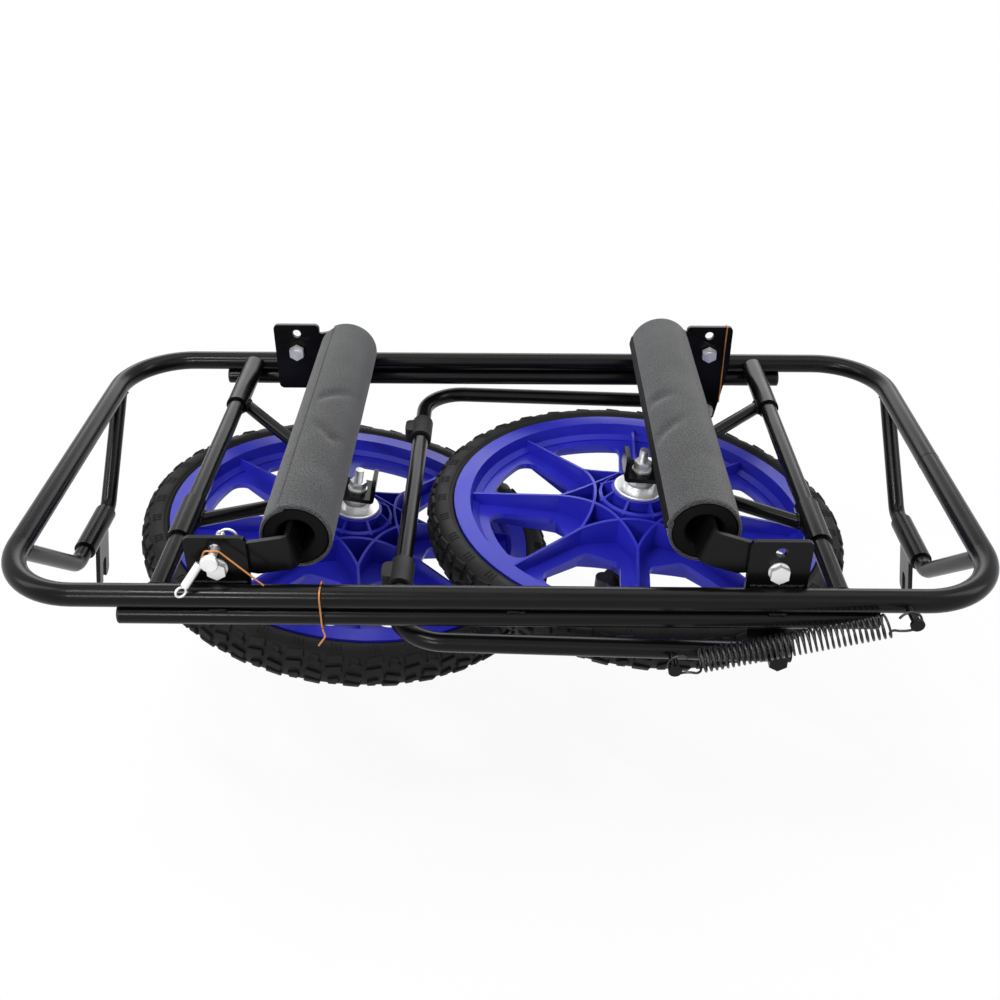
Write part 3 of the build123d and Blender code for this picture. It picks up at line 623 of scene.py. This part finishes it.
def buildStitches(side, centre, radius, half, seam):
    bm = bmesh.new()
    pitch = (stitchShape["length"] + stitchShape["gap"]) * mm
    margin = stitchShape["margin"] * mm
    angle = seam - stitchShape["inset"] * mm / radius
    out = radius - stitchShape["sunk"] * mm
    size = Vector((stitchShape["thick"], stitchShape["length"] / 2, stitchShape["thick"])) * mm
    for step in range(int((2 * half - 2 * margin) / pitch)):
        made = bmesh.ops.create_icosphere(bm, subdivisions=1, radius=1)["verts"]
        bmesh.ops.scale(bm, vec=size, verts=made)
        y = -half + margin + (step + 0.5) * pitch
        bmesh.ops.translate(bm, vec=(cos(angle) * out, y, sin(angle) * out), verts=made)
    bmesh.ops.translate(bm, vec=centre, verts=bm.verts)
    finishPiece(side + "Stitches", bm, "stitchThread", side + "_bunk")


# two strips of hook tape along the edge of the right cover
tapeShape = dict(
    side="right", bands=[(160.0, 168.5), (169.5, 178.0)], steps=6,
    proud=1.1, sunk=3.0, inset=4.0, edge=0.4,
)


def buildTape(centre, radius, half):
    bm = bmesh.new()
    inner, outer = radius - tapeShape["sunk"] * mm, radius + tapeShape["proud"] * mm
    reach = half - tapeShape["inset"] * mm
    for first, last in tapeShape["bands"]:
        corners = [(inner, -reach), (outer, -reach), (outer, reach), (inner, reach)]
        verts = [bm.verts.new((r, y, 0)) for r, y in corners]
        face = bm.faces.new(verts)
        bmesh.ops.rotate(bm, cent=(0, 0, 0), matrix=Matrix.Rotation(radians(-first), 3, "Y"), verts=verts)
        bmesh.ops.spin(bm, geom=verts + face.edges[:] + [face], cent=(0, 0, 0), axis=(0, -1, 0),
                       angle=radians(last - first), steps=tapeShape["steps"])
    bmesh.ops.recalc_face_normals(bm, faces=bm.faces)
    long = [edge for edge in bm.edges if edge.calc_length() > reach and edge.calc_face_angle(0) > 1]
    bmesh.ops.bevel(bm, geom=long, offset=tapeShape["edge"] * mm, offset_type="OFFSET", segments=2,
                    profile=0.5, affect="EDGES", material=-1)
    bmesh.ops.translate(bm, vec=centre, verts=bm.verts)
    finishPiece("hookTapes", bm, "hookTape", tapeShape["side"] + "_bunk")


for side in sides:
    centre, radius, half, seam = buildCover(side)
    buildFoam(side, centre, radius, half)
    buildStitches(side, centre, radius, half, seam)
    if side == tapeShape["side"]:
        buildTape(centre, radius, half)
print("bunk pads built")


# weld beads: rows of small drops where tubes and plates meet
weldShape = dict(
    tubes=dict(end=11.5, cross=9.5, foot=9.0, sleeve=12.5, brace=7.5),
    ring=dict(drop=1.35, step=1.9), brace=dict(drop=2.3, step=2.7),
    seam=dict(drop=2.7, step=2.3, high=9.0, out=1.6, inset=4.0),
    braceRoots=(146.0, -120.0), braceTip=(144.5, 12.5, -23.5), rootDrop=4.0,
    footY=176.0, footWay=(118.0, -106.0),
    tack=dict(places=(-262.0, 18.0, 262.0), length=16.0, out=6.2, under=0.2),
    uneven=dict(swell=0.45, stray=0.3, flat=0.85, turn=1.3), reach=60.0, lift=0.3, halvings=18,
)


def addDrops(bm, points, drop):
    uneven = weldShape["uneven"]
    for index, point in enumerate(points):
        made = bmesh.ops.create_icosphere(bm, subdivisions=1, radius=1)["verts"]
        swell = 1 + uneven["swell"] * noise.noise(point * 900 + Vector((index * 0.7, 0, 0)))
        stray = noise.noise_vector(point * 700 + Vector((0, index * 0.9, 0)))
        stray *= drop * uneven["stray"] * mm
        bmesh.ops.scale(bm, vec=Vector((1, 1, uneven["flat"])) * drop * swell * mm, verts=made)
        turn = Matrix.Rotation(index * uneven["turn"], 3, "Z")
        bmesh.ops.rotate(bm, cent=(0, 0, 0), matrix=turn, verts=made)
        bmesh.ops.translate(bm, vec=point + stray, verts=made)


# points round a tube where it leaves the tube it is welded to
def meetingRing(start, way, radius, root, rootAxis, rootRadius, step):
    way = way.normalized()
    first = way.orthogonal().normalized()
    second = way.cross(first)
    points = []
    count = max(8, int(2 * pi * radius / step))
    for index in range(count):
        turn = 2 * pi * index / count
        skin = start + (first * cos(turn) + second * sin(turn)) * radius * mm
        inside, outside = 0.0, weldShape["reach"] * mm
        for halving in range(weldShape["halvings"]):
            middle = (inside + outside) / 2
            away = skin + way * middle - root
            away[rootAxis] = 0
            if away.length < (rootRadius + weldShape["lift"]) * mm:
                inside = middle
            else:
                outside = middle
        points.append(skin + way * inside)
    return points


def seamRow(start, end, step):
    count = int((end - start).length / (step * mm))
    return [start.lerp(end, (index + 0.5) / count) for index in range(count)]


def buildFrameWelds():
    bm = bmesh.new()
    tubes, ring, seam = weldShape["tubes"], weldShape["ring"], weldShape["seam"]
    loopLow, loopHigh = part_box("frame_loop")
    tubeY = loopHigh.y - tubes["end"] * mm
    for side in sides:
        crossX = joints[side + "_arm_fold"]["pos_m"][0]
        footX = joints[side + "_link_swing"]["pos_m"][0]
        for end, where in ((-1, "front"), (1, "back")):
            root = Vector((crossX, end * tubeY, 0))
            inward = Vector((0, -end, 0))
            bead = meetingRing(root, inward, tubes["cross"], root, 0, tubes["end"], ring["step"])
            addDrops(bm, bead, ring["drop"])
            foot = Vector((footX, end * weldShape["footY"] * mm, 0))
            away = Vector((0, -end * weldShape["footWay"][0], weldShape["footWay"][1]))
            bead = meetingRing(foot, away, tubes["foot"], foot, 1, tubes["end"], ring["step"])
            addDrops(bm, bead, ring["drop"])
            low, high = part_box(f"{side}_{where}_bracket")
            faceY = (low.y if end < 0 else high.y) + end * seam["out"] * mm
            first = Vector((low.x + seam["inset"] * mm, faceY, seam["high"] * mm))
            last = Vector((high.x - seam["inset"] * mm, faceY, seam["high"] * mm))
            addDrops(bm, seamRow(first, last, seam["step"]), seam["drop"])
    tack = weldShape["tack"]
    half = tack["length"] / 2
    for end in (-1, 1):
        for x in tack["places"]:
            y, z = end * (tubeY + tack["out"] * mm), loopLow.z - tack["under"] * mm
            row = Vector(((x - half) * mm, y, z)), Vector(((x + half) * mm, y, z))
            addDrops(bm, seamRow(*row, seam["step"]), seam["drop"])
    finishPiece("frameWelds", bm, "blackCoat", "frame")


def buildArmWelds(side):
    bm = bmesh.new()
    tubes, brace = weldShape["tubes"], weldShape["brace"]
    hinge = Vector(joints[side + "_arm_fold"]["pos_m"])
    spin = joints[side + "_wheel_spin"]
    up = Vector(spin["axis"]).normalized()
    along = Vector((up.z, 0, -up.x)) * (1 if side == "left" else -1)
    reach, spread, drop = weldShape["braceTip"]
    for y in weldShape["braceRoots"]:
        start = hinge + (Vector((0, y, 0)) - up * weldShape["rootDrop"]) * mm
        tip = hinge + (along * reach + up * drop) * mm
        tip.y = spin["pos_m"][1] + (spread if y > 0 else -spread) * mm
        ring = meetingRing(start, tip - start, tubes["brace"], hinge, 1, tubes["sleeve"], brace["step"])
        addDrops(bm, ring, brace["drop"])
    finishPiece(side + "ArmWelds", bm, "blackCoat", side + "_arm")


buildFrameWelds()
for side in sides:
    buildArmWelds(side)

# the line where the ends of the frame tube meet, in the right end tube
jointRing = dict(y=3.0, radius=11.35, wire=0.42, steps=48)


def buildJointRing():
    bm = bmesh.new()
    made = bmesh.ops.create_circle(bm, segments=8, radius=jointRing["wire"] * mm)["verts"]
    bmesh.ops.translate(bm, vec=(jointRing["radius"] * mm, 0, 0), verts=made)
    bmesh.ops.spin(bm, geom=made + bm.edges[:], cent=(0, 0, 0), axis=(0, 1, 0), angle=2 * pi,
                   steps=jointRing["steps"], use_merge=True)
    bmesh.ops.recalc_face_normals(bm, faces=bm.faces)
    endX = joints["right_link_swing"]["pos_m"][0]
    bmesh.ops.translate(bm, vec=(endX, jointRing["y"] * mm, 0), verts=bm.verts)
    finishPiece("tubeJoint", bm, "hookTape", "frame")


buildJointRing()
print("welds built")


# floor, light and camera; the floor lies under the stand's feet when the stand is down
stageSet = dict(floor=(0.88, 0.88, 0.88), size=40.0, gap=0.5, clear=(0.88, 1.0), fade=(0.7, 1.8))


# 1 for rays that show the background: straight from the camera, mirrored or seen through
def seenRays(tree, *others):
    rays = putNode(tree, "ShaderNodeLightPath")
    most = rays.outputs["Is Camera Ray"]
    for label in ("Is Glossy Ray", "Is Transmission Ray", *others):
        larger = putNode(tree, "ShaderNodeMath", operation="MAXIMUM")
        joinSockets(tree, (most, larger.inputs[0]), (rays.outputs[label], larger.inputs[1]))
        most = larger.outputs[0]
    return most


def buildStage():
    bm = bmesh.new()
    bmesh.ops.create_grid(bm, x_segments=1, y_segments=1, size=stageSet["size"] / 2)
    ground = min(standDown(vert.co).z for vert in nodes["stand_feet"].data.vertices)
    bmesh.ops.translate(bm, vec=(0, 0, ground - stageSet["gap"] * mm), verts=bm.verts)
    mesh = bpy.data.meshes.new("studioFloor")
    bm.to_mesh(mesh)
    bm.free()
    material, tree, shader = newMaterial("paleFloor", **{"Roughness": 0.9, "Specular IOR Level": 0.1})
    shader.inputs["Base Color"].default_value = (*stageSet["floor"], 1)
    # most of the white world shows through, so the cart can be seen from below
    through = putNode(tree, "ShaderNodeBsdfTransparent")
    blend = putNode(tree, "ShaderNodeMixShader")
    share = putNode(tree, "ShaderNodeMath", operation="MULTIPLY")
    place = putNode(tree, "ShaderNodeTexCoord")
    away = putNode(tree, "ShaderNodeVectorMath", operation="LENGTH")
    clear = putNode(tree, "ShaderNodeMapRange")
    clear.inputs["From Min"].default_value, clear.inputs["From Max"].default_value = stageSet["fade"]
    clear.inputs["To Min"].default_value, clear.inputs["To Max"].default_value = stageSet["clear"]
    joinSockets(
        tree,
        (place.outputs["Object"], away.inputs[0]),
        (away.outputs["Value"], clear.inputs["Value"]),
        (clear.outputs["Result"], share.inputs[1]),
        (seenRays(tree, "Is Shadow Ray"), share.inputs[0]),
        (share.outputs[0], blend.inputs[0]),
        (shader.outputs[0], blend.inputs[1]),
        (through.outputs[0], blend.inputs[2]),
        (blend.outputs[0], tree.nodes["Material Output"].inputs["Surface"]),
    )
    mesh.materials.append(material)
    floor = bpy.data.objects.new("studioFloor", mesh)
    bpy.context.scene.collection.objects.link(floor)


def buildWorld():
    world = bpy.data.worlds.new("studioWorld")
    world.use_nodes = True
    tree = world.node_tree
    sky = tree.nodes["Background"]
    sky.inputs["Color"].default_value = (1, 1, 1, 1)
    level = putNode(tree, "ShaderNodeMapRange", {"To Min": 0.35, "To Max": 1.0})
    joinSockets(
        tree,
        (seenRays(tree), level.inputs["Value"]),
        (level.outputs["Result"], sky.inputs["Strength"]),
    )
    bpy.context.scene.world = world


lampSet = {
    "topSoftbox": dict(place=(0.1, 0.4, 2.3), aim=(0, 0, 0), size=(2.4, 1.6), power=17),
    "highStrip": dict(place=(-0.85, -0.95, 1.8), aim=(-0.3, -0.25, 0), size=(0.7, 0.08), power=17),
    "lowStrip": dict(place=(-1.05, -2.5, 1.05), aim=(-0.3, -0.25, 0), size=(0.8, 0.08), power=19),
    "frontFill": dict(place=(0.6, -2.4, 1.5), aim=(0, 0, 0), size=(1.8, 1.2), power=4),
    "leftBox": dict(place=(-2.1, -0.3, 1.5), aim=(-0.2, 0, 0), size=(0.7, 1.8), power=15),
    "rightBox": dict(place=(2.1, -0.3, 1.4), aim=(0.2, 0, 0), size=(0.7, 1.8), power=15),
    "backWall": dict(place=(0.0, 2.5, 1.1), aim=(0, 0, 0), size=(3.6, 1.0), power=34),
}


def buildLamps():
    for name, setting in lampSet.items():
        lamp = bpy.data.lights.new(name, "AREA")
        lamp.shape = "RECTANGLE"
        lamp.size, lamp.size_y = setting["size"]
        lamp.energy = setting["power"]
        holder = bpy.data.objects.new(name, lamp)
        holder.location = setting["place"]
        way = Vector(setting["aim"]) - Vector(setting["place"])
        holder.rotation_euler = way.to_track_quat("-Z", "Y").to_euler()
        bpy.context.scene.collection.objects.link(holder)


cameraSet = dict(place=(12.9, -1079.6, 656.7), down=33.316, yaw=-0.715, focal=1127.25, width=1000)


def buildCamera():
    data = bpy.data.cameras.new("photoCamera")
    data.sensor_width = 36
    data.lens = cameraSet["focal"] / cameraSet["width"] * data.sensor_width
    data.clip_start, data.clip_end = 0.05, 100
    camera = bpy.data.objects.new("photoCamera", data)
    down, yaw = radians(cameraSet["down"]), radians(cameraSet["yaw"])
    way = Vector((sin(yaw) * cos(down), cos(yaw) * cos(down), -sin(down)))
    camera.location = Vector(cameraSet["place"]) * mm
    camera.rotation_euler = way.to_track_quat("-Z", "Y").to_euler()
    bpy.context.scene.collection.objects.link(camera)
    bpy.context.scene.camera = camera


buildStage()
buildWorld()
buildLamps()
buildCamera()
bpy.context.scene.view_settings.view_transform = "Standard"
print("stage, lamps and camera ready")
